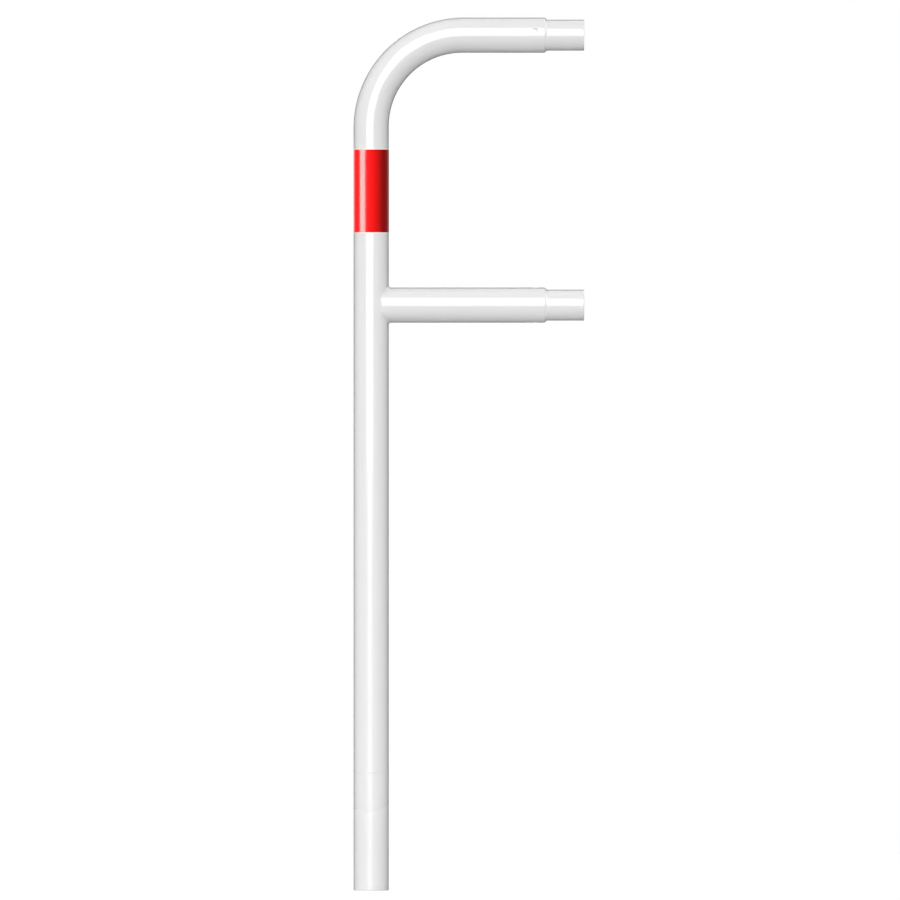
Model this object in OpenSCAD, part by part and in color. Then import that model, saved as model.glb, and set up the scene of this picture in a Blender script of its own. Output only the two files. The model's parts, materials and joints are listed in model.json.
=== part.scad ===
// Tubular steel marker post: a bent top arm, a welded knee arm, a plug-in spigot on each
// arm, and one reflective band. Millimetres, +Z up, +X along the arms, -Y is the front.
// The origin is the centre of the post's open foot.

/* [Tube] */
// Outside diameter of the post and of both arms
tube_d = 60.3; // [56:0.1:65]
// Wall thickness of the post and of both arms
tube_wall = 3.2; // [2.6:0.1:4]

/* [Post] */
// Height from the foot to the top of the upper arm
total_h = 1500; // [1400:10:1800]
// Centreline radius of the bend at the top
bend_r = 158; // [140:1:180]
// Height of the girth weld's middle above the foot
foot_weld_h = 204; // [150:1:300]

/* [Arms] */
// Distance from the post's axis to the end of each arm tube
arm_reach = 298; // [280:1:400]
// Distance between the axes of the two arms
arm_pitch = 464; // [440:1:560]
// Distance from the post's axis to the square-cut ears of the knee arm's cope
ear_trim = 18; // [14:0.5:20]
// Diameter of the vent hole in the post, behind the knee arm
vent_d = 12; // [8:1:16]

/* [Spigots] */
// Radial play between a spigot and the arm that holds it
spigot_play = 0.45; // [0.2:0.05:0.8]
// Wall thickness of a spigot
spigot_wall = 3.2; // [2:0.1:4]
// Length of a spigot that stands out of its arm
spigot_out = 68; // [50:1:90]
// Length of a spigot that is held inside its arm
spigot_in = 92; // [60:1:95]
// Chamfer on a spigot's outer end edges
spigot_chamfer = 1; // [0.5:0.1:1.5]

/* [Plug welds] */
// Diameter of the plug-weld holes in the arms
plug_d = 9; // [6:0.5:12]
// Distance from an arm's end to its plug-weld holes
plug_setback = 16; // [12:1:30]
// How far a plug weld's face lies below the arm's surface
plug_recess = 0.3; // [0.1:0.1:0.8]
// Angle of the upper arm's front plug weld above the front direction
upper_plug_tilt = 15; // [0:0.5:40]
// Angle of the knee arm's first plug weld above the front direction
lower_plug_tilt = 90; // [60:1:120]

/* [Weld beads] */
// Length along the spigot of the sloped ring weld
ring_weld_l = 4; // [3:0.5:6]
// Leg of the saddle weld round the knee arm
saddle_leg = 2.5; // [1.5:0.5:4]
// Gap between the two tube ends that the girth weld fills
root_gap = 2; // [1:0.5:3]
// How far the girth weld's root stands into the bore
root_bead = 0.5; // [0.3:0.1:1]
// Width of the girth weld's cap, across both bevels
cap_w = 4; // [3.5:0.5:6]
// How far the girth weld's cap stands out
cap_h = 0.45; // [0.2:0.05:0.8]
// How deep each ring weld melts into its spigot
melt_depth = 0.4; // [0.2:0.1:0.8]

/* [Reflective band] */
// Height of the red film
band_h = 142; // [100:1:150]
// Distance from the start of the bend down to the top of the red film
band_drop = 39; // [30:1:45]
// Width of the white carrier left showing above and below the red film
band_margin = 2; // [1:0.5:3]
// Thickness of the carrier, and of the red film
film_t = 0.25; // [0.15:0.05:0.4]
// Width of the seam where the ends of the band meet at the back
seam_w = 1; // [0.5:0.5:2]

/* [Hidden] */

$fn = 96;
// Overrun of a cutting tool past the face that it cuts
past = 5;

tube_r = tube_d / 2;
bore_r = tube_r - tube_wall;
spigot_r = bore_r - spigot_play;
upper_z = total_h - tube_r;
knee_z = upper_z - arm_pitch;
bend_z = upper_z - bend_r;
// Heights of the girth weld's edges, at the root and at the cap
root_low = foot_weld_h - root_gap / 2;
root_high = foot_weld_h + root_gap / 2;
cap_low = foot_weld_h - cap_w / 2;
cap_high = foot_weld_h + cap_w / 2;
plug_x = arm_reach - plug_setback;
// The saddle weld starts this far ahead of the knee arm's ears
saddle_start = ear_trim - saddle_leg;
// Radius of the arc that forms the girth weld's cap
cap_arc_r = (pow(cap_w / 2, 2) + pow(cap_h, 2)) / (2 * cap_h);
band_bottom = bend_z - band_drop - band_h;

// A tube that stands on z = 0
module tube(r_out, r_in, length) {
    difference() {
        cylinder(h = length, r = r_out);
        translate([0, 0, -past]) cylinder(h = length + 2 * past, r = r_in);
    }
}

// Lays its child down along +X, starting at x, on the axis at height z
module along_x(x, z) {
    translate([x, 0, z]) rotate([0, 90, 0]) children();
}

// A round bar that leaves an arm's axis at a tilt above the front direction
module radial_bar(x, z, tilt, d, length) {
    translate([x, 0, z]) rotate([90 - tilt, 0, 0]) cylinder(h = length, d = d);
}

// The two opposite bars that the plug-weld holes of one arm are cut with
module plug_bars(z, tilt) {
    for (side = [0, 180]) {
        radial_bar(plug_x, z, tilt + side, plug_d, tube_r + past);
    }
}

// A quarter turn of tube, from the post's axis up to the upper arm's axis
module bend() {
    translate([bend_r, 0, bend_z]) rotate([90, 0, 0]) rotate([0, 0, 90])
        rotate_extrude(angle = 90) translate([bend_r, 0]) difference() {
            circle(r = tube_r);
            circle(r = bore_r);
        }
}

// Its lower end is bevelled for the girth weld
module post_tube() {
    color("white") difference() {
        union() {
            rotate_extrude() polygon([
                [bore_r, root_high],
                [tube_r, cap_high],
                [tube_r, bend_z],
                [bore_r, bend_z]
            ]);
            bend();
            along_x(bend_r, upper_z) tube(tube_r, bore_r, arm_reach - bend_r);
        }
        plug_bars(upper_z, upper_plug_tilt);
        along_x(0, knee_z) cylinder(h = tube_r + past, d = vent_d);
    }
}

// Cut square at the bottom and bevelled at the top for the girth weld
module foot_tube() {
    color("white") rotate_extrude() polygon([
        [bore_r, 0],
        [tube_r, 0],
        [tube_r, cap_low],
        [bore_r, root_low]
    ]);
}

// Fills the groove between the bevels, stands into the bore and has a shallow arc for a cap
module foot_weld() {
    color("whitesmoke") rotate_extrude() union() {
        polygon([
            [bore_r - root_bead, root_low],
            [bore_r, root_low],
            [tube_r, cap_low],
            [tube_r, cap_high],
            [bore_r, root_high],
            [bore_r - root_bead, root_high]
        ]);
        intersection() {
            translate([tube_r + cap_h - cap_arc_r, foot_weld_h]) circle(r = cap_arc_r);
            translate([tube_r, cap_low]) square([cap_w, cap_w]);
        }
    }
}

// Coped to the post, with the cope's thin ears cut off square
module knee_arm() {
    color("white") difference() {
        along_x(ear_trim, knee_z) tube(tube_r, bore_r, arm_reach - ear_trim);
        translate([0, 0, knee_z - tube_d]) cylinder(h = 2 * tube_d, r = tube_r);
        plug_bars(knee_z, lower_plug_tilt);
    }
}

// A bead that lies in the corner between post and arm, and fills the notch at each ear
module knee_arm_weld() {
    color("whitesmoke") difference() {
        intersection() {
            translate([0, 0, knee_z - tube_d])
                tube(tube_r + saddle_leg, tube_r, 2 * tube_d);
            along_x(saddle_start, knee_z)
                tube(tube_r + saddle_leg, bore_r, tube_d);
        }
        along_x(ear_trim, knee_z) cylinder(h = tube_d, r = tube_r);
    }
}

// A tube with chamfered outer edges, part of it inside its arm. The groove round it is
// the metal that the ring weld has melted.
module spigot(z) {
    start = arm_reach - spigot_in;
    length = spigot_in + spigot_out;
    inner_r = spigot_r - spigot_wall;
    melt_r = spigot_r - melt_depth;
    color("white") along_x(start, z) rotate_extrude() polygon([
        [inner_r, 0],
        [spigot_r - spigot_chamfer, 0],
        [spigot_r, spigot_chamfer],
        [spigot_r, spigot_in],
        [melt_r, spigot_in + melt_depth],
        [melt_r, spigot_in + ring_weld_l - melt_depth],
        [spigot_r, spigot_in + ring_weld_l],
        [spigot_r, length - spigot_chamfer],
        [spigot_r - spigot_chamfer, length],
        [inner_r, length]
    ]);
}

module upper_spigot() {
    spigot(upper_z);
}

module lower_spigot() {
    spigot(knee_z);
}

// A sloped ring that joins the arm's end face to the spigot, and fills the spigot's groove
module ring_weld(z) {
    melt_r = spigot_r - melt_depth;
    color("whitesmoke") along_x(arm_reach, z) rotate_extrude() polygon([
        [spigot_r, 0],
        [tube_r, 0],
        [spigot_r, ring_weld_l],
        [melt_r, ring_weld_l - melt_depth],
        [melt_r, melt_depth]
    ]);
}

module upper_spigot_weld() {
    ring_weld(upper_z);
}

module lower_spigot_weld() {
    ring_weld(knee_z);
}

// The two plugs of weld metal that stand on the spigot and fill the arm's holes
module plug_welds(z, tilt) {
    color("whitesmoke") intersection() {
        plug_bars(z, tilt);
        along_x(plug_x - plug_d, z) tube(tube_r - plug_recess, spigot_r, 2 * plug_d);
    }
}

module upper_plug_welds() {
    plug_welds(upper_z, upper_plug_tilt);
}

module lower_plug_welds() {
    plug_welds(knee_z, lower_plug_tilt);
}

// One layer of the band, wrapped round the post and open along a seam at the back
module band_layer(r_in, z, height) {
    translate([0, 0, z]) difference() {
        tube(r_in + film_t, r_in, height);
        translate([-seam_w / 2, 0, -past]) cube([seam_w, 2 * tube_r, height + 2 * past]);
    }
}

module band_carrier() {
    color("white")
        band_layer(tube_r, band_bottom - band_margin, band_h + 2 * band_margin);
}

module band_film() {
    color("red") band_layer(tube_r + film_t, band_bottom, band_h);
}

post_tube();
foot_tube();
foot_weld();
knee_arm();
knee_arm_weld();
upper_spigot();
lower_spigot();
upper_spigot_weld();
lower_spigot_weld();
upper_plug_welds();
lower_plug_welds();
band_carrier();
band_film();
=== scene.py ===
import json
import math

import bmesh
import bpy
import numpy as np
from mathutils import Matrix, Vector, noise

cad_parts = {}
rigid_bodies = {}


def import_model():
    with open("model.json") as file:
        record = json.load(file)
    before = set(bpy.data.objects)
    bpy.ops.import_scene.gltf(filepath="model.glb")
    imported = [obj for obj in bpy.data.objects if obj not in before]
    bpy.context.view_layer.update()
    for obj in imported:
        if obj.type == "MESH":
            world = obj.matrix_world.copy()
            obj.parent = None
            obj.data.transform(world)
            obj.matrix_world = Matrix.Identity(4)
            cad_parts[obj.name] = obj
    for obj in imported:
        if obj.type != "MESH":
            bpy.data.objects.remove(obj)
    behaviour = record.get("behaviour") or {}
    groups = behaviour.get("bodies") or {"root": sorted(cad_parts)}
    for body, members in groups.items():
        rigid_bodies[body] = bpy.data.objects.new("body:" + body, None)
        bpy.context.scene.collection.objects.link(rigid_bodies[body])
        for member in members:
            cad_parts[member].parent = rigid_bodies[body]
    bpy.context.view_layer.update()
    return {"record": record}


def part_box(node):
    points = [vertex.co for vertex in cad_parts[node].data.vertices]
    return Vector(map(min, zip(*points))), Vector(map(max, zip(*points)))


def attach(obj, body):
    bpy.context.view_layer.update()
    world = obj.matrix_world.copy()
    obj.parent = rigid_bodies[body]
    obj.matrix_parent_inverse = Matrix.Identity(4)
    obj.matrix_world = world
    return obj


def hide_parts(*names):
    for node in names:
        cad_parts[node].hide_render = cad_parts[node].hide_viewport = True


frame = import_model()

# The looks of a tubular steel marker post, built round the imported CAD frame. Metres, +Z up.
# A point on a tube is (s, theta, r): how far along its centreline, the angle round it, and
# the distance from the centreline. On an arm theta is 0 underneath, 90 degrees at the front,
# 180 on top and 270 at the back. The post's theta runs on from the upper arm's round the
# bend, so it is 0 on the arms' side and 90 degrees at the front.

MM = 0.001
MOUNTS = {m["name"]: m for m in frame["record"]["mounts"]}


def mount_radius(name):
    return MOUNTS[name]["dims"]["r_mm"] * MM


# ---- sizes read from the frame ----
TUBE_R = mount_radius("foot_outside")
BORE_R = mount_radius("foot_socket")
SPIGOT_R = mount_radius("upper_spigot_end")
UPPER_Z = MOUNTS["upper_spigot_end"]["pos_m"][2]
KNEE_Z = MOUNTS["lower_spigot_end"]["pos_m"][2]
ARM_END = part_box("upper_spigot_weld")[0].x
RING_WELD_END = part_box("upper_spigot_weld")[1].x
SPIGOT_START, SPIGOT_END = (corner.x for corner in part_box("upper_spigot"))
FOOT_WELD_LOW, FOOT_WELD_HIGH = (corner.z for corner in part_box("foot_weld"))
EAR_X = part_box("knee_arm")[0].x
PLUG_LOW, PLUG_HIGH = (corner.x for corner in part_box("upper_plug_welds"))
PLUG_X = (PLUG_LOW + PLUG_HIGH) / 2
PLUG_R = (PLUG_HIGH - PLUG_LOW) / 2

# ---- sizes that the frame holds only in its solids ----
BEND_R = 158 * MM
SPIGOT_BORE_R = SPIGOT_R - 3.2 * MM
VENT_R = 6 * MM
# Degrees from the front up to the upper arm's first plug weld
UPPER_PLUG_TILT = 15
FILM_T = 0.25 * MM

# ---- sizes of the finish ----
# Cells round a tube, and how many of them lie on each side of a hole's centre
COLUMNS = 144
HOLE_CELLS = 6
# Rounding of a tube's cut end, outside and inside, and of a hole's outer rim
LIP = 0.6 * MM
INNER_LIP = 0.3 * MM
HOLE_LIP = 0.35 * MM
# A ring this close to each end keeps the rounding from showing on the long wall
NEAR_END = 1.0 * MM
# The seam inside a drawn tube: how far it stands in, and how many degrees it spreads
SEAM_RIDGE = 0.5 * MM
SEAM_SPREAD = 2.2
BEND_OVALITY = 0.02
# How far along the knee arm its rings follow the cope, and the x where its fine rings stop
COPE_FOLLOW = 45 * MM
FINE_RINGS_END = 62 * MM
# Each tube's end stops this far from the middle of the girth weld
ROOT_HALF_GAP = 0.2 * MM
# Sections round a ring weld or the girth weld, and round the saddle weld
RING_SECTIONS = 480
SADDLE_SECTIONS = 540
RIPPLE_PITCH = 2.6 * MM
# How far the band's end laps over its start, and the angle in which it climbs on to it
BAND_LAP = 9 * MM
BAND_CLIMB = math.radians(5)

FOOT_WELD_MIDDLE = (FOOT_WELD_LOW + FOOT_WELD_HIGH) / 2
BEND_START = UPPER_Z - BEND_R
ARM_START = BEND_START + BEND_R * math.pi / 2
UNDER, FRONT, TOP, BACK = 0, 90, 180, 270


def smooth(t):
    """Runs from 0 to 1 as t does, level at both ends."""
    t = min(max(t, 0.0), 1.0)
    return t * t * (3 - 2 * t)


# ---- where a point on each tube is ----
def on_post(s, theta, r):
    """The post, its bend and the upper arm. In the bend the tube is a little oval."""
    turn = min(max((s - BEND_START) / BEND_R, 0.0), math.pi / 2)
    oval = BEND_OVALITY * math.sin(2 * turn)
    inward = r * math.cos(theta) * (1 - oval)
    front = r * math.sin(theta) * (1 + oval / 2)
    reach = BEND_R - inward
    x = BEND_R - reach * math.cos(turn) + max(s - ARM_START, 0.0)
    z = min(s, BEND_START) + reach * math.sin(turn)
    return (x, -front, z)


def on_knee_arm(s, theta, r):
    """The knee arm. Close to the post its rings follow the cope."""
    y = -r * math.sin(theta)
    post_x = math.sqrt(max(TUBE_R**2 - y**2, 0.0))
    follow = 1 - smooth((s - EAR_X) / COPE_FOLLOW)
    x = s + (max(post_x, EAR_X) - EAR_X) * follow
    return (x, y, KNEE_Z - r * math.cos(theta))


def on_upper_arm(s, theta, r):
    return (s, -r * math.sin(theta), UPPER_Z - r * math.cos(theta))


def on_lower_arm(s, theta, r):
    return (s, -r * math.sin(theta), KNEE_Z - r * math.cos(theta))


def on_axis(s, theta, r):
    """A straight tube on the post's axis."""
    return (r * math.cos(theta), -r * math.sin(theta), s)


# ---- building meshes ----
class Builder:
    """Collects one mesh's vertices, its faces and the finish number of each face."""

    def __init__(self):
        self.verts, self.faces, self.finishes = [], [], []

    def row(self, points):
        """Adds vertices, and gives their numbers."""
        first = len(self.verts)
        self.verts.extend(points)
        return list(range(first, len(self.verts)))

    def face(self, corners, finish=0):
        self.faces.append(corners)
        self.finishes.append(finish)

    def bridge(self, a, b, finish=0, skip=()):
        """Quads between two closed rows, apart from the columns in skip."""
        for i in range(len(a)):
            if i not in skip:
                j = (i + 1) % len(a)
                self.face((a[i], a[j], b[j], b[i]), finish)

    def fan(self, row, centre):
        for i in range(len(row)):
            self.face((row[i], row[(i + 1) % len(row)], centre))

    def piece(self, name, materials, slot, nodes, sharp=35):
        """Makes the object, gives it its materials, and lets it stand for its CAD nodes.

        An edge that turns by sharp degrees or more is shaded as an edge."""
        mesh = bpy.data.meshes.new(name)
        mesh.from_pydata(self.verts, [], self.faces)
        for material in materials:
            mesh.materials.append(material)
        mesh.polygons.foreach_set("material_index", self.finishes)
        bm = bmesh.new()
        bm.from_mesh(mesh)
        loose = [v for v in bm.verts if not v.link_faces]
        bmesh.ops.delete(bm, geom=loose, context="VERTS")
        bmesh.ops.recalc_face_normals(bm, faces=bm.faces)
        for f in bm.faces:
            f.smooth = True
        for e in bm.edges:
            e.smooth = e.calc_face_angle(0.0) < math.radians(sharp)
        bm.to_mesh(mesh)
        bm.free()
        obj = bpy.data.objects.new(name, mesh)
        bpy.context.scene.collection.objects.link(obj)
        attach(obj, "root")
        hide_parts(*nodes)
        return obj


def column_angles():
    return [2 * math.pi * j / COLUMNS for j in range(COLUMNS)]


def stations(start, stop, step, holes=()):
    """Places along a tube about a step apart, and HOLE_CELLS even ones each side of a hole."""
    cell = TUBE_R * 2 * math.pi / COLUMNS
    marks = [start, start + NEAR_END]
    for hole in sorted(holes):
        near, far = hole - HOLE_CELLS * cell, hole + HOLE_CELLS * cell
        marks += list(np.linspace(marks[-1], near, round((near - marks[-1]) / step) + 1))[1:]
        marks += list(np.linspace(near, far, 2 * HOLE_CELLS + 1))[1:]
    last = stop - NEAR_END
    count = max(round((last - marks[-1]) / step), 1)
    return marks + list(np.linspace(marks[-1], last, count + 1))[1:] + [stop]


def block_path():
    """The corners round the square block that a hole is cut in, in cells from its centre."""
    n = HOLE_CELLS
    side = range(-n, n)
    path = [(-n, j) for j in side]
    path += [(i, n) for i in side]
    path += [(n, -j) for j in side]
    path += [(-i, -n) for i in side]
    return path


def rounded_end(end, outer, inner, way, lip=LIP):
    """(s, r) from the outer wall round a tube's end to its inner wall; way is 1 or -1."""
    turns = [math.radians(a) for a in (0, 30, 60, 90)]
    outside = [(end - way * lip * (1 - math.sin(a)), outer - lip * (1 - math.cos(a)))
               for a in turns]
    inside = [(end - way * INNER_LIP * (1 - math.cos(a)), inner + INNER_LIP * (1 - math.sin(a)))
              for a in turns]
    return outside + inside


class Tube:
    """A closed tube wall with a ring at each of its marks. Round holes may go through it."""

    def __init__(self, place, marks, outer, inner, start_end, far_end, seam):
        self.build = Builder()
        self.place, self.marks = place, marks
        self.outer_r, self.inner_r, self.seam = outer, inner, seam
        self.angles = column_angles()
        self.start_end, self.far_end = start_end, far_end
        self.outer = [self.ring(s, outer) for s in marks]
        self.inner = [self.ring(s, inner, ridged=True) for s in marks]
        self.blocks = []

    def ring(self, s, r, ridged=False):
        return self.build.row([self.place(s, a, r - self.ridge(a) * ridged) for a in self.angles])

    def ridge(self, theta):
        """How far the weld seam inside a drawn tube stands in from its bore."""
        off = (theta - math.radians(self.seam) + math.pi) % (2 * math.pi) - math.pi
        return SEAM_RIDGE * math.exp(-((off / math.radians(SEAM_SPREAD)) ** 2))

    def hole(self, s, degrees, radius):
        """Cuts a round hole square through the wall, with a softened outer rim."""
        row = min(range(len(self.marks)), key=lambda i: abs(self.marks[i] - s))
        column = round(degrees / 360 * COLUMNS)
        block = (row, column)
        self.blocks.append(block)
        loops = [self.outline(rings, block) for rings in (self.outer, self.inner)]
        spots = [self.offsets(r, block) for r in (self.outer_r, self.inner_r)]
        ways = [math.atan2(t, d) for d, t in spots[0]]
        depth = self.outer_r - self.inner_r
        # Each step is a distance from the hole's axis and a depth below the outer wall
        steps = [(radius + HOLE_LIP * (1 - math.sin(a)), HOLE_LIP * (1 - math.cos(a)))
                 for a in map(math.radians, (0, 30, 60, 90))]
        steps += [(radius, depth * 0.5), (radius, depth)]
        centre = (s, math.radians(degrees))
        rows = [loops[0]]
        rows += self.morph(spots[0], ways, steps[0][0], self.outer_r, centre)
        for rho, down in steps[1:]:
            rows.append(self.circle(ways, rho, self.outer_r - down, centre))
        rows += self.morph(spots[1], ways, radius, self.inner_r, centre)[-2::-1]
        rows.append(loops[1])
        for a, b in zip(rows, rows[1:]):
            self.build.bridge(a, b)

    def outline(self, rings, block):
        """The vertices at the corners of the block's outline."""
        row, column = block
        return [rings[row + i][(column + j) % COLUMNS] for i, j in block_path()]

    def offsets(self, r, block):
        """(along, across) of each corner of the block's outline, from the hole's centre."""
        row = block[0]
        cell = 2 * math.pi / COLUMNS
        along = self.marks[row + HOLE_CELLS] - self.marks[row]
        return [(i / HOLE_CELLS * along, r * math.sin(j * cell)) for i, j in block_path()]

    def morph(self, spots, ways, rho, r, centre):
        """Rings that turn the square outline into a circle on the wall at radius r."""
        rows = []
        for step in (0.3, 0.6, 0.85, 1.0):
            points = []
            for (d, t), way in zip(spots, ways):
                d = d + (rho * math.cos(way) - d) * step
                t = t + (rho * math.sin(way) - t) * step
                points.append(self.place(centre[0] + d, centre[1] + math.asin(t / r), r))
            rows.append(self.build.row(points))
        return rows

    def circle(self, ways, rho, r, centre):
        """A ring rho from the hole's axis, at radius r of the tube."""
        return self.build.row([
            self.place(centre[0] + rho * math.cos(w),
                       centre[1] + math.asin(rho * math.sin(w) / r), r)
            for w in ways])

    def finish(self, name, materials, slot, nodes):
        """Faces between the rings: finish 0 outside and round the ends, 1 in the bore."""
        n = HOLE_CELLS
        for k in range(len(self.marks) - 1):
            skip = set()
            for row, column in self.blocks:
                if row - n <= k < row + n:
                    skip |= {(column + j) % COLUMNS for j in range(-n, n)}
            self.build.bridge(self.outer[k], self.outer[k + 1], 0, skip)
            self.build.bridge(self.inner[k], self.inner[k + 1], 1, skip)
        for profile, k in ((self.start_end, 0), (self.far_end, -1)):
            rows = [self.outer[k]]
            rows += [self.ring(s, r) for s, r in profile[1:-1]]
            rows.append(self.inner[k])
            for a, b in zip(rows, rows[1:]):
                self.build.bridge(a, b)
        return self.build.piece(name, materials, slot, nodes)


def plain_tube(name, place, start, stop, outer, inner, seam, look, slot, nodes, step, lip=LIP):
    """A tube with two rounded ends and no holes."""
    near = rounded_end(start, outer, inner, -1, lip)
    far = rounded_end(stop, outer, inner, 1, lip)
    marks = stations(near[0][0], far[0][0], step)
    tube = Tube(place, marks, outer, inner, near, far, seam)
    return tube.finish(name, look, slot, nodes)


def swept_ring(name, sections, look, slot, nodes):
    """A closed bead: each section is a closed outline, and the last one joins the first."""
    build = Builder()
    rows = [build.row(points) for points in sections]
    for a, b in zip(rows, rows[1:] + rows[:1]):
        build.bridge(a, b)
    return build.piece(name, look, slot, nodes, sharp=60)


def ripple(along, across, seed):
    """The height, about -1 to 1, of the ripples of a weld bead that a coat of paint softens.

    The ripples are curved across the bead, and noise shifts them and makes them uneven."""
    wander = noise.noise(Vector((along / (9 * MM), seed, 0.0))) * 0.9
    wave = math.sin(2 * math.pi * along / RIPPLE_PITCH + wander * 2.0 - 1.6 * across * across)
    return 0.75 * wave + 0.5 * noise.noise(Vector((along / (4 * MM), across, seed + 7.0)))


# ---- materials ----
class Nodes:
    """A short way to write a node tree."""

    def __init__(self, name):
        self.material = bpy.data.materials.new(name)
        self.material.use_nodes = True
        self.tree = self.material.node_tree
        self.shader = self.tree.nodes["Principled BSDF"]
        self.coords = self.add("ShaderNodeTexCoord").outputs["Object"]

    def add(self, kind, links=None, **values):
        node = self.tree.nodes.new(kind)
        for key, value in values.items():
            setattr(node, key, value)
        for key, value in (links or {}).items():
            self.feed(value, node.inputs[key])
        return node

    def feed(self, value, socket):
        if isinstance(value, bpy.types.NodeSocket):
            self.tree.links.new(value, socket)
        else:
            socket.default_value = value

    def noise(self, scale, detail, roughness=0.5):
        return self.add("ShaderNodeTexNoise", {
            "Vector": self.coords, "Scale": scale, "Detail": detail, "Roughness": roughness,
        }).outputs["Fac"]

    def cells(self, scale):
        """The distance from the middle of each cell."""
        node = self.add("ShaderNodeTexVoronoi", {"Vector": self.coords, "Scale": scale})
        return node.outputs["Distance"]

    def spread(self, value, low, high, out_low=0.0, out_high=1.0):
        """Stretches a value's range from low and high to the two others, and clamps it."""
        return self.add("ShaderNodeMapRange", {
            "Value": value, "From Min": low, "From Max": high,
            "To Min": out_low, "To Max": out_high,
        }).outputs["Result"]

    def blend(self, factor, a, b):
        node = self.add("ShaderNodeMix", data_type="RGBA")
        self.feed(factor, node.inputs["Factor"])
        self.feed(a, node.inputs["A"])
        self.feed(b, node.inputs["B"])
        return node.outputs["Result"]

    def math(self, operation, a, b):
        return self.add("ShaderNodeMath", {0: a, 1: b}, operation=operation).outputs["Value"]

    def bump(self, height, distance, strength, under=None):
        links = {"Height": height, "Distance": distance, "Strength": strength}
        if under is not None:
            links["Normal"] = under
        return self.add("ShaderNodeBump", links).outputs["Normal"]

    def set(self, **values):
        """Sets the shader's sockets; an underscore in a name stands for a space."""
        for key, value in values.items():
            self.feed(value, self.shader.inputs[key.replace("_", " ")])
        return self.material


def grey(level):
    return (level, level, level, 1.0)


def powder_coat(name, orange_peel, peel_scale):
    """Gloss white powder coat: a hard clear skin with orange peel over a softer white, which
    grit and road salt have dulled towards the foot.

    orange_peel is the depth of the peel, and peel_scale is how fine it is."""
    n = Nodes(name)
    patches = n.spread(n.noise(9.0, 4.0), 0.2, 0.8)
    specks = n.spread(n.noise(2600.0, 1.0), 0.35, 0.65)
    white = n.blend(patches, grey(0.844), grey(0.850))
    white = n.blend(n.spread(specks, 0.0, 1.0, 0.0, 0.05), white, grey(0.74))
    peel = n.noise(peel_scale, 1.5, 0.4)
    waves = n.noise(peel_scale / 5, 1.0)
    normal = n.bump(waves, 0.04 * MM, 0.5)
    normal = n.bump(peel, orange_peel, 0.5, normal)
    height = n.add("ShaderNodeSeparateXYZ", {"Vector": n.coords}).outputs["Z"]
    dulled = n.spread(height, 0.1, 0.6, 0.28, 0.12)
    return n.set(
        Base_Color=white, Roughness=n.math("ADD", dulled, n.spread(patches, 0.0, 1.0, 0.0, 0.02)),
        Specular_IOR_Level=0.5, IOR=1.5, Coat_Weight=1.0, Coat_Roughness=0.03,
        Coat_IOR=1.5, Normal=normal, Coat_Normal=normal)


def galvanised_bore():
    """The zinc inside a tube, with white overspray just inside the open ends."""
    n = Nodes("galvanised_bore")
    spangle = n.cells(160.0)
    zinc = n.blend(n.spread(spangle, 0.1, 0.7), grey(0.36), (0.50, 0.51, 0.53, 1.0))
    zinc = n.blend(n.spread(n.noise(35.0, 5.0), 0.45, 0.7), zinc, grey(0.27))
    axes = n.add("ShaderNodeSeparateXYZ", {"Vector": n.coords})
    ragged = n.math("MULTIPLY", n.noise(120.0, 3.0), 22 * MM)
    spray_limit = 34 * MM
    by_spigot = n.math("SUBTRACT", axes.outputs["X"], ragged)
    by_spigot = n.spread(by_spigot, SPIGOT_END - spray_limit, SPIGOT_END - 12 * MM)
    by_foot = n.math("ADD", axes.outputs["Z"], ragged)
    by_foot = n.spread(by_foot, spray_limit, 10 * MM)
    spray = n.math("MAXIMUM", by_spigot, by_foot)
    return n.set(
        Base_Color=n.blend(spray, zinc, grey(0.72)),
        Metallic=n.spread(spray, 0.0, 1.0, 0.55, 0.0),
        Roughness=n.spread(spangle, 0.0, 0.6, 0.42, 0.6),
        Normal=n.bump(n.noise(420.0, 4.0), 0.12 * MM, 0.6))


def red_film():
    """Enclosed-bead reflective film: tiny beads under a clear gloss face."""
    n = Nodes("red_reflective_film")
    beads = n.cells(5200.0)
    bead, between = (0.97, 0.007, 0.007, 1.0), (0.88, 0.005, 0.005, 1.0)
    red = n.blend(n.spread(beads, 0.0, 0.6), bead, between)
    faded = n.spread(n.noise(14.0, 3.0), 0.3, 0.7, 0.0, 0.25)
    red = n.blend(faded, red, (0.86, 0.005, 0.005, 1.0))
    waves = n.bump(n.noise(38.0, 1.0), 0.05 * MM, 0.4)
    return n.set(
        Base_Color=red, Roughness=n.spread(beads, 0.0, 0.6, 0.30, 0.42),
        Specular_IOR_Level=0.2, Coat_Weight=1.0, Coat_Roughness=0.18, Coat_IOR=1.5,
        Normal=n.bump(beads, 0.02 * MM, 0.35, waves), Coat_Normal=waves)


def white_film():
    """The same kind of film in white, which carries the red."""
    n = Nodes("white_carrier_film")
    beads = n.cells(5200.0)
    return n.set(
        Base_Color=n.blend(n.spread(beads, 0.0, 0.6), grey(0.90), grey(0.86)),
        Roughness=n.spread(n.noise(60.0, 3.0), 0.3, 0.7, 0.22, 0.34), Coat_Weight=0.5,
        Coat_Roughness=0.1, Normal=n.bump(beads, 0.02 * MM, 0.3))


COAT = powder_coat("white_powder_coat", 0.020 * MM, 420.0)
WELD_COAT = powder_coat("painted_weld", 0.030 * MM, 560.0)
BORE = galvanised_bore()
RED_FILM = red_film()
WHITE_FILM = white_film()


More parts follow.
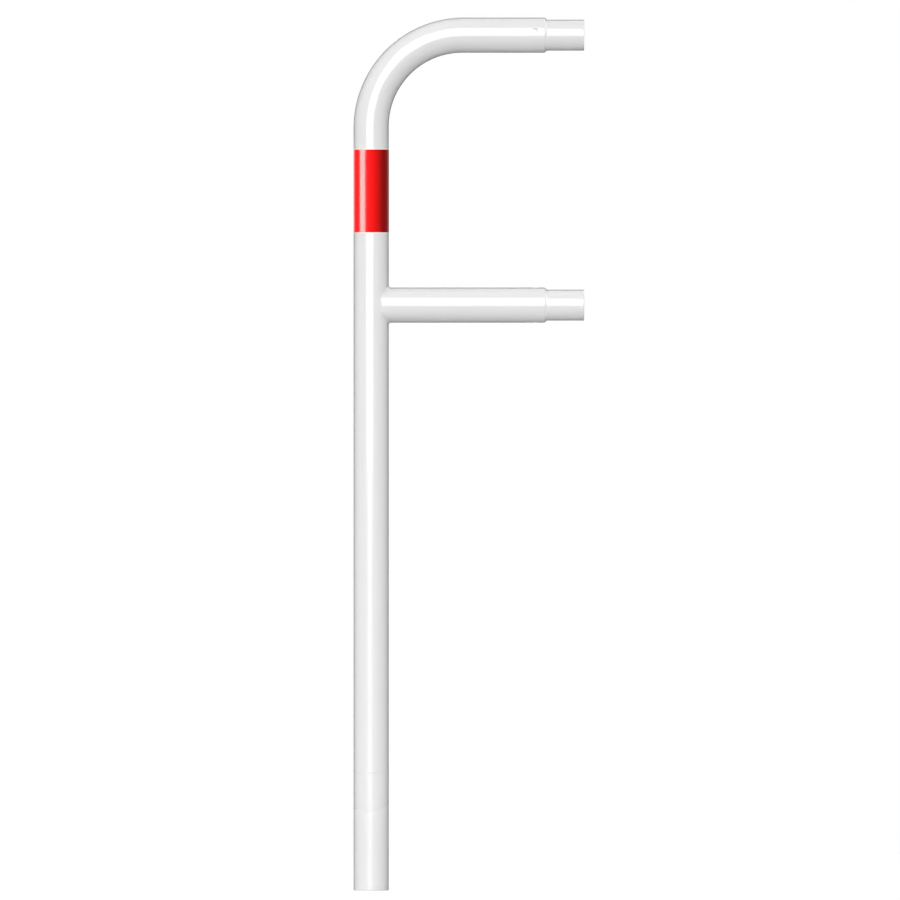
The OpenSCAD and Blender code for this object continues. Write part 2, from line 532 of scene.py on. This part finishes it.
# ---- the tubes ----
def make_post():
    """The post, its bend and the upper arm, with the vent hole and the two plug-weld holes."""
    near = rounded_end(FOOT_WELD_MIDDLE + ROOT_HALF_GAP, TUBE_R, BORE_R, -1)
    # On the upper arm s runs this far ahead of x
    ahead = ARM_START - BEND_R
    far = rounded_end(ARM_END + ahead, TUBE_R, BORE_R, 1)
    plug_s = PLUG_X + ahead
    marks = stations(near[0][0], BEND_START, 22 * MM, [KNEE_Z])
    marks += stations(BEND_START, ARM_START, 3.5 * MM)[1:]
    marks += stations(ARM_START, far[0][0], 12 * MM, [plug_s])[1:]
    tube = Tube(on_post, marks, TUBE_R, BORE_R, near, far, seam=200)
    tube.hole(KNEE_Z, UNDER, VENT_R)
    tube.hole(plug_s, FRONT + UPPER_PLUG_TILT, PLUG_R)
    tube.hole(plug_s, BACK + UPPER_PLUG_TILT, PLUG_R)
    return tube.finish("post_shell", [COAT, BORE], "white_powder_coat", ["post_tube"])


def make_foot():
    """The short length below the girth weld, open at the bottom."""
    top = FOOT_WELD_MIDDLE - ROOT_HALF_GAP
    return plain_tube("foot_shell", on_axis, 0.0, top, TUBE_R, BORE_R, 200, [COAT, BORE],
                      "white_powder_coat", ["foot_tube"], 12 * MM)


def make_knee_arm():
    """The coped arm, with finer rings near the cope and the two plug-weld holes."""
    near = rounded_end(EAR_X, TUBE_R, BORE_R, -1, lip=0.4 * MM)
    far = rounded_end(ARM_END, TUBE_R, BORE_R, 1)
    marks = stations(near[0][0], FINE_RINGS_END, 2.2 * MM)
    marks += stations(FINE_RINGS_END, far[0][0], 14 * MM, [PLUG_X])[1:]
    tube = Tube(on_knee_arm, marks, TUBE_R, BORE_R, near, far, seam=300)
    tube.hole(PLUG_X, TOP, PLUG_R)
    tube.hole(PLUG_X, UNDER, PLUG_R)
    return tube.finish("knee_arm_shell", [COAT, BORE], "white_powder_coat", ["knee_arm"])


def make_spigot(name, place, node):
    """One reduced tube, part of it inside its arm."""
    return plain_tube(name, place, SPIGOT_START, SPIGOT_END, SPIGOT_R, SPIGOT_BORE_R, 250,
                      [COAT, BORE], "white_powder_coat", [node], 8 * MM, lip=1.0 * MM)


# ---- the welds ----
def make_ring_weld(name, place, node, seed):
    """The sloped ring between an arm's end and its spigot, which runs out smoothly at each."""
    width = RING_WELD_END - ARM_END
    drop = TUBE_R - SPIGOT_R - 0.1 * MM
    start_r = TUBE_R - 0.12 * MM
    root_r = SPIGOT_R - 0.4 * MM
    tuck = 0.3 * MM
    steps = 14
    sections = []
    for k in range(RING_SECTIONS):
        theta = 2 * math.pi * k / RING_SECTIONS
        along = theta * TUBE_R
        section = []
        for i in range(steps + 1):
            t = i / steps
            crown = math.sin(math.pi * t) * (0.12 + 0.08 * ripple(along, 2 * t - 1, seed)) * MM
            lift = 0.7 * crown
            fall = 0.35 * t + 0.65 * smooth(t)
            x = ARM_END - tuck * (1 - t) + width * t + lift
            section.append(place(x, theta, start_r - drop * fall + lift))
        section.append(place(ARM_END + width * 0.8, theta, root_r))
        section.append(place(ARM_END - tuck, theta, root_r))
        sections.append(section)
    return swept_ring(name, sections, [WELD_COAT], "painted_weld", [node])


def make_foot_weld():
    """The low bead round the post where the foot length is joined on."""
    half_cap = (FOOT_WELD_HIGH - FOOT_WELD_LOW) / 2 + 0.2 * MM
    half_root = 0.9 * MM
    edge_r = TUBE_R - 0.02 * MM
    root_r = BORE_R - 0.45 * MM
    sections = []
    for k in range(RING_SECTIONS):
        theta = 2 * math.pi * k / RING_SECTIONS
        along = theta * TUBE_R
        section = []
        for i in range(9):
            t = i / 4 - 1
            crown = (0.36 + 0.08 * ripple(along, t, 3.0)) * (1 - t * t) * MM
            section.append(on_axis(FOOT_WELD_MIDDLE + half_cap * t, theta, edge_r + crown))
        section.append(on_axis(FOOT_WELD_MIDDLE + half_root, theta, root_r))
        section.append(on_axis(FOOT_WELD_MIDDLE - half_root, theta, root_r))
        sections.append(section)
    return swept_ring("foot_weld_bead", sections, [WELD_COAT], "painted_weld", ["foot_weld"])


def saddle_corner(theta):
    """Where the knee arm's end meets the post at that angle round the arm.

    Gives the x of the arm's end, the corner's distance from the arm's axis, and how close
    the place is to an ear: 0 over most of the way, and 1 at the ear itself."""
    y = TUBE_R * abs(math.sin(theta))
    ear_y = math.sqrt(TUBE_R**2 - EAR_X**2)
    edge_x = max(math.sqrt(max(TUBE_R**2 - y**2, 0.0)), EAR_X)
    r = min(TUBE_R, ear_y / max(abs(math.sin(theta)), 1e-6))
    return edge_x, r, smooth((y - ear_y * 0.86) / (ear_y * 0.2))


def on_post_wall(theta, away, back):
    """A point on the post, that far away from the saddle's corner and back inside the wall."""
    edge_x, r, _ = saddle_corner(theta)
    y = -r * math.sin(theta)
    around = math.atan2(-y, edge_x)
    sign = 1 if y < 0 else -1
    turn = abs(around) + away / TUBE_R * abs(math.sin(theta))
    radius = TUBE_R - back
    z = KNEE_Z - (r + away * abs(math.cos(theta))) * math.cos(theta)
    return (radius * math.cos(turn), -sign * radius * math.sin(turn), z)


def make_saddle_weld():
    """The bead in the corner between the post and the knee arm.

    At the two ears it is smaller and lies below the arm's surface, which leaves a crease."""
    sections = []
    for k in range(SADDLE_SECTIONS):
        theta = 2 * math.pi * k / SADDLE_SECTIONS
        edge_x, _, ear = saddle_corner(theta)
        # How far the bead reaches along the post, and how far out its edge on the arm is
        leg = (2.6 - 1.5 * ear) * MM
        arm_r = TUBE_R + (0.02 - 2.6 * ear) * MM
        on_arm = Vector((edge_x + leg * (1 - ear) - 0.1 * MM * ear,
                         -arm_r * math.sin(theta), KNEE_Z - arm_r * math.cos(theta)))
        on_wall = Vector(on_post_wall(theta, leg, -0.02 * MM))
        outward = Vector((0.7, -math.sin(theta), -math.cos(theta))).normalized()
        along = theta * TUBE_R
        section = []
        for i in range(9):
            t = i / 8
            sag = -0.22 * (1 - ear) + 0.12 * ripple(along, 2 * t - 1, 5.0)
            lift = math.sin(math.pi * t) * sag * MM
            section.append(on_arm.lerp(on_wall, t) + outward * lift)
        section.append(Vector(on_post_wall(theta, 0.6 * leg, 0.5 * MM)))
        section.append(Vector(on_post_wall(theta, -0.5 * MM, 0.7 * MM)))
        deep = TUBE_R - (1.9 + 1.0 * ear) * MM
        section.append(Vector((edge_x + 0.5 * MM, -deep * math.sin(theta),
                               KNEE_Z - deep * math.cos(theta))))
        sections.append(section)
    return swept_ring("saddle_weld_bead", sections, [WELD_COAT], "painted_weld",
                      ["knee_arm_weld"])


def plug(build, place, degrees, seed):
    """One plug weld, down to the spigot. Its face is a low dome that has shrunk away from
    one side of the hole, which leaves a crescent there."""
    count = 48
    ways = [2 * math.pi * k / count for k in range(count)]
    centre = math.radians(degrees)
    radius = PLUG_R - 0.04 * MM

    def spot(rho, way, r):
        return place(PLUG_X + rho * math.cos(way), centre + math.asin(rho * math.sin(way) / r), r)

    def face_r(rho, way):
        """The height of the plug's face as a distance from the arm's axis."""
        t = rho / radius
        groove = 0.5 * MM * smooth((t - 0.5) / 0.5)
        crescent = 2.0 * MM * smooth((t * math.sin(way) - 0.30) / 0.45)
        swirl = 0.05 * MM * math.sin(3 * way + 9 * t + seed) * t * (1 - t)
        return TUBE_R - 0.3 * MM - groove - crescent + swirl

    rows = []
    for step in (0.2, 0.4, 0.55, 0.7, 0.8, 0.9, 1.0):
        rho = radius * step
        rows.append(build.row([spot(rho, w, face_r(rho, w)) for w in ways]))
    rows.append(build.row([spot(radius, w, SPIGOT_R) for w in ways]))
    for a, b in zip(rows, rows[1:]):
        build.bridge(a, b)
    top, bottom = build.row([spot(0.0, 0.0, face_r(0.0, 0.0)), spot(0.0, 0.0, SPIGOT_R)])
    build.fan(rows[0], top)
    build.fan(rows[-1], bottom)


def make_plugs(name, place, first, node):
    """An arm's two plug welds, at the angle first and opposite it."""
    build = Builder()
    for k, degrees in enumerate((first, first + 180)):
        plug(build, place, degrees, 1.7 * k)
    return build.piece(name, [WELD_COAT], "painted_weld", [node])


# ---- the band ----
def make_band_layer(name, node, lift, look, slot):
    """A strip wrapped round the post, lift away from it, whose end laps over its start.

    The lapped end climbs over both layers of the start."""
    low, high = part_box(node)[0].z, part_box(node)[1].z
    lap_angle = BAND_LAP / TUBE_R
    start = math.radians(BACK) - lap_angle / 2
    turns = 300
    rows_up = 12
    levels = [low + (high - low) * i / rows_up for i in range(1, rows_up)]
    soft = FILM_T * 0.45
    sections = []
    for k in range(turns + 1):
        along = (2 * math.pi + lap_angle) * k / turns
        climb = smooth((along - 2 * math.pi + BAND_CLIMB) / BAND_CLIMB)
        base = TUBE_R + lift + 2 * FILM_T * climb
        top = base + FILM_T
        outline = [(low, base), (low, top - soft), (low + soft, top)]
        outline += [(level, top) for level in levels]
        outline += [(high - soft, top), (high, top - soft), (high, base)]
        outline += [(level, base) for level in reversed(levels)]
        sections.append([on_axis(z, start + along, r) for z, r in outline])
    build = Builder()
    rows = [build.row(points) for points in sections]
    for a, b in zip(rows, rows[1:]):
        build.bridge(a, b)
    build.face(tuple(rows[0]))
    build.face(tuple(reversed(rows[-1])))
    return build.piece(name, [look], slot, [node])


make_post()
make_foot()
make_knee_arm()
make_spigot("upper_spigot_shell", on_upper_arm, "upper_spigot")
make_spigot("lower_spigot_shell", on_lower_arm, "lower_spigot")
upper_ring = make_ring_weld("upper_ring_weld", on_upper_arm, "upper_spigot_weld", 1.0)
lower_ring = make_ring_weld("lower_ring_weld", on_lower_arm, "lower_spigot_weld", 2.0)
make_foot_weld()
make_saddle_weld()
make_plugs("upper_plugs", on_upper_arm, FRONT + UPPER_PLUG_TILT, "upper_plug_welds")
make_plugs("lower_plugs", on_lower_arm, TOP, "lower_plug_welds")
make_band_layer("white_carrier", "band_carrier", 0.0, WHITE_FILM, "white_film")
band = make_band_layer("red_band", "band_film", FILM_T, RED_FILM, "red_reflective_film")


# ---- camera ----
def make_camera():
    """Level, square on to the front, far away, so that the view has almost no perspective."""
    data = bpy.data.cameras.new("camera")
    data.lens = 800.0
    data.sensor_width = 36.0
    view_width = 1547 * MM
    view_x, view_z = 135.5 * MM, 756.8 * MM
    camera = bpy.data.objects.new("camera", data)
    camera.location = (view_x, -view_width * data.lens / data.sensor_width, view_z)
    camera.rotation_euler = (math.radians(90), 0.0, 0.0)
    data.clip_end = 200.0
    bpy.context.scene.collection.objects.link(camera)
    bpy.context.scene.camera = camera


make_camera()


# ---- light and stage ----
# The place that all the lights face, near the middle of the object
AIM_POINT = Vector((0.1, 0.0, 0.75))


def aim(light, azimuth, elevation, distance):
    """Puts a light in a direction from AIM_POINT, and turns it to face there.

    Azimuth 0 is the front, and 90 degrees is the side that the arms point to."""
    a, e = math.radians(azimuth), math.radians(elevation)
    way = Vector((math.sin(a) * math.cos(e), -math.cos(a) * math.cos(e), math.sin(e)))
    light.location = AIM_POINT + way * distance
    light.rotation_euler = (-way).to_track_quat("-Z", "Y").to_euler()
    light.visible_camera = False
    bpy.context.scene.collection.objects.link(light)


def soft_box(name, azimuth, elevation, width, height, radiance, lit, diffuse=True,
             glossy=True, distance=40.0):
    """A far rectangle of light, whose width and height are angles in degrees.

    It lights only the objects in the collection lit."""
    data = bpy.data.lights.new(name, "AREA")
    data.shape = "RECTANGLE"
    data.size = 2 * distance * math.tan(math.radians(width / 2))
    data.size_y = 2 * distance * math.tan(math.radians(height / 2))
    data.energy = radiance * math.pi * data.size * data.size_y
    light = bpy.data.objects.new(name, data)
    aim(light, azimuth, elevation, distance)
    light.visible_diffuse = diffuse
    light.visible_glossy = glossy
    light.light_linking.receiver_collection = lit


def fill(name, azimuth, elevation, level, lit, spread=80):
    """A broad soft light that doesn't show in reflections. Its spread is in degrees."""
    data = bpy.data.lights.new(name, "SUN")
    data.angle = math.radians(spread)
    data.energy = level * math.pi
    light = bpy.data.objects.new(name, data)
    aim(light, azimuth, elevation, 10.0)
    light.visible_glossy = False
    light.light_linking.receiver_collection = lit


def make_world():
    """White to the camera, and a dim surround to everything else."""
    world = bpy.data.worlds.new("surround")
    bpy.context.scene.world = world
    world.use_nodes = True
    tree = world.node_tree
    tree.nodes.clear()
    path = tree.nodes.new("ShaderNodeLightPath")
    seen, lit = (tree.nodes.new("ShaderNodeBackground") for _ in range(2))
    seen.inputs["Color"].default_value = grey(1.0)
    lit.inputs["Color"].default_value = grey(0.04)
    mix = tree.nodes.new("ShaderNodeMixShader")
    out = tree.nodes.new("ShaderNodeOutputWorld")
    tree.links.new(path.outputs["Is Camera Ray"], mix.inputs["Fac"])
    tree.links.new(lit.outputs["Background"], mix.inputs[1])
    tree.links.new(seen.outputs["Background"], mix.inputs[2])
    tree.links.new(mix.outputs["Shader"], out.inputs["Surface"])


def make_floor():
    """A pale disc just under the foot, lit up to white for the camera alone."""
    radius = 3.0
    drop = 0.2 * MM
    count = 96
    around = [2 * math.pi * k / count for k in range(count)]
    rim = [(radius * math.cos(a), radius * math.sin(a), -drop) for a in around]
    mesh = bpy.data.meshes.new("floor")
    mesh.from_pydata(rim, [], [tuple(range(count))])
    floor = bpy.data.objects.new("floor", mesh)
    bpy.context.scene.collection.objects.link(floor)
    floor.visible_glossy = False
    n = Nodes("pale_floor")
    path = n.add("ShaderNodeLightPath").outputs["Is Camera Ray"]
    n.set(Base_Color=n.blend(n.noise(3.0, 3.0), grey(0.72), grey(0.74)), Roughness=0.6,
          Emission_Color=grey(1.0), Emission_Strength=n.math("MULTIPLY", path, 0.54))
    mesh.materials.append(n.material)
    return floor


def collect(name, objects):
    """A collection that a light can be linked to."""
    collection = bpy.data.collections.new(name)
    for obj in objects:
        collection.objects.link(obj)
    return collection


make_world()
floor = make_floor()
ALL_MESHES = [obj for obj in bpy.context.scene.objects if obj.type == "MESH"]
whites = collect("lit_as_white", [obj for obj in ALL_MESHES if obj != band])
pieces = collect("lit_off_the_floor", [obj for obj in whites.objects if obj != floor])
rings = collect("ring_welds", [upper_ring, lower_ring])
reds = collect("lit_as_red", [band])

# The main light, and the two boxes that make the narrow highlight. The nearer one's
# reflection runs out towards the foot.
soft_box("front_box", -7, 22, 52, 52, 2.08, whites, glossy=False)
soft_box("front_gloss_box", -8.0, 22, 32, 49, 1.5, whites, diffuse=False)
soft_box("high_gloss_box", -9.5, 23.8, 50, 48, 2.6, whites, diffuse=False, distance=10.0)

# Soft light from all round, which sets how dark each side is
fill("left_fill", -90, 0, 0.165, whites)
fill("high_left_fill", -90, 45, 0.25, whites)
fill("front_left_fill", -45, 20, 0.19, whites)
fill("front_right_fill", 45, 20, 0.33, whites)
fill("back_right_fill", 150, 30, 0.15, whites)
fill("back_left_fill", -150, 30, 0.10, whites)
fill("back_fill", 180, 10, 0.50, pieces, spread=30)
fill("high_back_fill", 180, 60, 0.20, pieces, spread=30)

# Reflections for the sides, the back and the ring welds
soft_box("right_box", 108, 31, 56, 22, 1.6, whites, diffuse=False)
soft_box("ring_card", 82, 0, 120, 70, 1.5, rings, diffuse=False)
soft_box("high_ring_card", 51, 20, 58, 50, 2.2, rings, diffuse=False)
soft_box("back_right_box", 150, 52, 30, 26, 2.0, whites, diffuse=False)
soft_box("low_left_card", -40, -28, 24, 36, 2.3, whites, diffuse=False)
soft_box("low_back_card", -130, -32, 24, 28, 0.9, whites, diffuse=False)

# The red band's own lights
fill("band_front_fill", -50, 10, 1.55, reds, spread=10)
fill("band_low_fill", 40, 10, 0.105, reds, spread=150)
fill("band_back_fill", 180, 20, 1.0, reds, spread=60)
soft_box("band_box", -58, 7, 38, 20, 10.0, reds, diffuse=False)
soft_box("band_tall_box", -58, 0, 36, 70, 1.8, reds, diffuse=False)
soft_box("band_back_box", -155, 10, 46, 60, 0.9, reds, diffuse=False)
soft_box("band_back_right_box", 150, 10, 50, 60, 0.25, reds, diffuse=False)

bpy.context.scene.view_settings.view_transform = "Standard"
